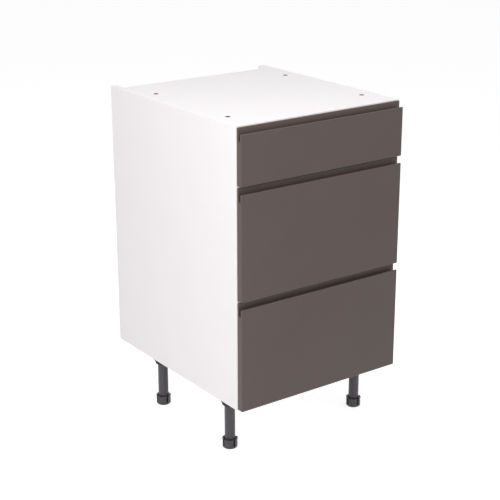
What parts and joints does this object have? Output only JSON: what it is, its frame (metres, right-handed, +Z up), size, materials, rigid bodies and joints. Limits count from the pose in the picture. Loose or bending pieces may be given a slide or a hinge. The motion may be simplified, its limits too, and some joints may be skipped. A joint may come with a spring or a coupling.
{
  "type": "base cabinet with drawers",
  "caption": "Handleless kitchen base cabinet in white board with dark grey J-pull drawer fronts, full-extension drawers and adjustable plastic legs.",
  "frame": {"origin": "on the floor, in the middle of the cabinet's width and of its depth over the drawer fronts", "axes": "+X to the cabinet's right seen from the front, +Y to the wall behind, +Z up"},
  "size_m": [0.5, 0.589, 0.87],
  "materials": {
    "white_board": "white melamine faced board, fine satin",
    "front_wrap": "matt dark grey vinyl wrap over board",
    "drawer_board": "pale melamine faced board, satin",
    "leg_plastic": "moulded black plastic, satin",
    "side_steel": "grey powder coat, fine",
    "runner_zinc": "bright zinc plated sheet"
  },
  "bodies": {
    "carcass": {"side_panel_left": "white_board", "side_panel_right": "white_board", "base_panel": "white_board", "top_panel": "white_board", "back_panel": "white_board", "leg_socket_front_left": "leg_plastic", "leg_socket_front_right": "leg_plastic", "leg_socket_rear_left": "leg_plastic", "leg_socket_rear_right": "leg_plastic", "leg_tube_front_left": "leg_plastic", "leg_tube_front_right": "leg_plastic", "leg_tube_rear_left": "leg_plastic", "leg_tube_rear_right": "leg_plastic", "top_runner_cabinet_member_left": "runner_zinc", "top_runner_cabinet_member_right": "runner_zinc", "middle_runner_cabinet_member_left": "runner_zinc", "middle_runner_cabinet_member_right": "runner_zinc", "bottom_runner_cabinet_member_left": "runner_zinc", "bottom_runner_cabinet_member_right": "runner_zinc"},
    "top_drawer": {"top_drawer_front": "front_wrap", "top_drawer_base": "drawer_board", "top_drawer_back": "drawer_board", "top_drawer_side_left": "side_steel", "top_front_bracket_left": "runner_zinc", "top_runner_drawer_member_left": "runner_zinc", "top_drawer_side_right": "side_steel", "top_front_bracket_right": "runner_zinc", "top_runner_drawer_member_right": "runner_zinc"},
    "top_middle_member_left": {"top_runner_middle_member_left": "runner_zinc"},
    "top_middle_member_right": {"top_runner_middle_member_right": "runner_zinc"},
    "middle_drawer": {"middle_drawer_front": "front_wrap", "middle_drawer_base": "drawer_board", "middle_drawer_back": "drawer_board", "middle_drawer_side_left": "side_steel", "middle_front_bracket_left": "runner_zinc", "middle_runner_drawer_member_left": "runner_zinc", "middle_gallery_rail_left": "side_steel", "middle_drawer_side_right": "side_steel", "middle_front_bracket_right": "runner_zinc", "middle_runner_drawer_member_right": "runner_zinc", "middle_gallery_rail_right": "side_steel"},
    "middle_middle_member_left": {"middle_runner_middle_member_left": "runner_zinc"},
    "middle_middle_member_right": {"middle_runner_middle_member_right": "runner_zinc"},
    "bottom_drawer": {"bottom_drawer_front": "front_wrap", "bottom_drawer_base": "drawer_board", "bottom_drawer_back": "drawer_board", "bottom_drawer_side_left": "side_steel", "bottom_front_bracket_left": "runner_zinc", "bottom_runner_drawer_member_left": "runner_zinc", "bottom_gallery_rail_left": "side_steel", "bottom_drawer_side_right": "side_steel", "bottom_front_bracket_right": "runner_zinc", "bottom_runner_drawer_member_right": "runner_zinc", "bottom_gallery_rail_right": "side_steel"},
    "bottom_middle_member_left": {"bottom_runner_middle_member_left": "runner_zinc"},
    "bottom_middle_member_right": {"bottom_runner_middle_member_right": "runner_zinc"},
    "foot_front_left": {"leg_foot_front_left": "leg_plastic"},
    "foot_front_right": {"leg_foot_front_right": "leg_plastic"},
    "foot_rear_left": {"leg_foot_rear_left": "leg_plastic"},
    "foot_rear_right": {"leg_foot_rear_right": "leg_plastic"}
  },
  "joints": [
    {"name": "top_drawer_slide", "type": "slide", "parent": "carcass", "child": "top_drawer", "axis": [0, -1, 0], "range_m": [0, 0.48]},
    {"name": "top_middle_member_left_slide", "type": "slide", "parent": "carcass", "child": "top_middle_member_left", "axis": [0, -1, 0], "range_m": [0, 0.24]},
    {"name": "top_middle_member_right_slide", "type": "slide", "parent": "carcass", "child": "top_middle_member_right", "axis": [0, -1, 0], "range_m": [0, 0.24]},
    {"name": "middle_drawer_slide", "type": "slide", "parent": "carcass", "child": "middle_drawer", "axis": [0, -1, 0], "range_m": [0, 0.48]},
    {"name": "middle_middle_member_left_slide", "type": "slide", "parent": "carcass", "child": "middle_middle_member_left", "axis": [0, -1, 0], "range_m": [0, 0.24]},
    {"name": "middle_middle_member_right_slide", "type": "slide", "parent": "carcass", "child": "middle_middle_member_right", "axis": [0, -1, 0], "range_m": [0, 0.24]},
    {"name": "bottom_drawer_slide", "type": "slide", "parent": "carcass", "child": "bottom_drawer", "axis": [0, -1, 0], "range_m": [0, 0.48]},
    {"name": "bottom_middle_member_left_slide", "type": "slide", "parent": "carcass", "child": "bottom_middle_member_left", "axis": [0, -1, 0], "range_m": [0, 0.24]},
    {"name": "bottom_middle_member_right_slide", "type": "slide", "parent": "carcass", "child": "bottom_middle_member_right", "axis": [0, -1, 0], "range_m": [0, 0.24]},
    {"name": "foot_front_left_screw", "type": "slide", "parent": "carcass", "child": "foot_front_left", "axis": [0, 0, -1], "range_m": [-0.01, 0.015]},
    {"name": "foot_front_right_screw", "type": "slide", "parent": "carcass", "child": "foot_front_right", "axis": [0, 0, -1], "range_m": [-0.01, 0.015]},
    {"name": "foot_rear_left_screw", "type": "slide", "parent": "carcass", "child": "foot_rear_left", "axis": [0, 0, -1], "range_m": [-0.01, 0.015]},
    {"name": "foot_rear_right_screw", "type": "slide", "parent": "carcass", "child": "foot_rear_right", "axis": [0, 0, -1], "range_m": [-0.01, 0.015]}
  ],
  "couplings": [
    {"joint": "top_middle_member_left_slide", "follows": "top_drawer_slide", "ratio": 0.5},
    {"joint": "top_middle_member_right_slide", "follows": "top_drawer_slide", "ratio": 0.5},
    {"joint": "middle_middle_member_left_slide", "follows": "middle_drawer_slide", "ratio": 0.5},
    {"joint": "middle_middle_member_right_slide", "follows": "middle_drawer_slide", "ratio": 0.5},
    {"joint": "bottom_middle_member_left_slide", "follows": "bottom_drawer_slide", "ratio": 0.5},
    {"joint": "bottom_middle_member_right_slide", "follows": "bottom_drawer_slide", "ratio": 0.5}
  ]
}
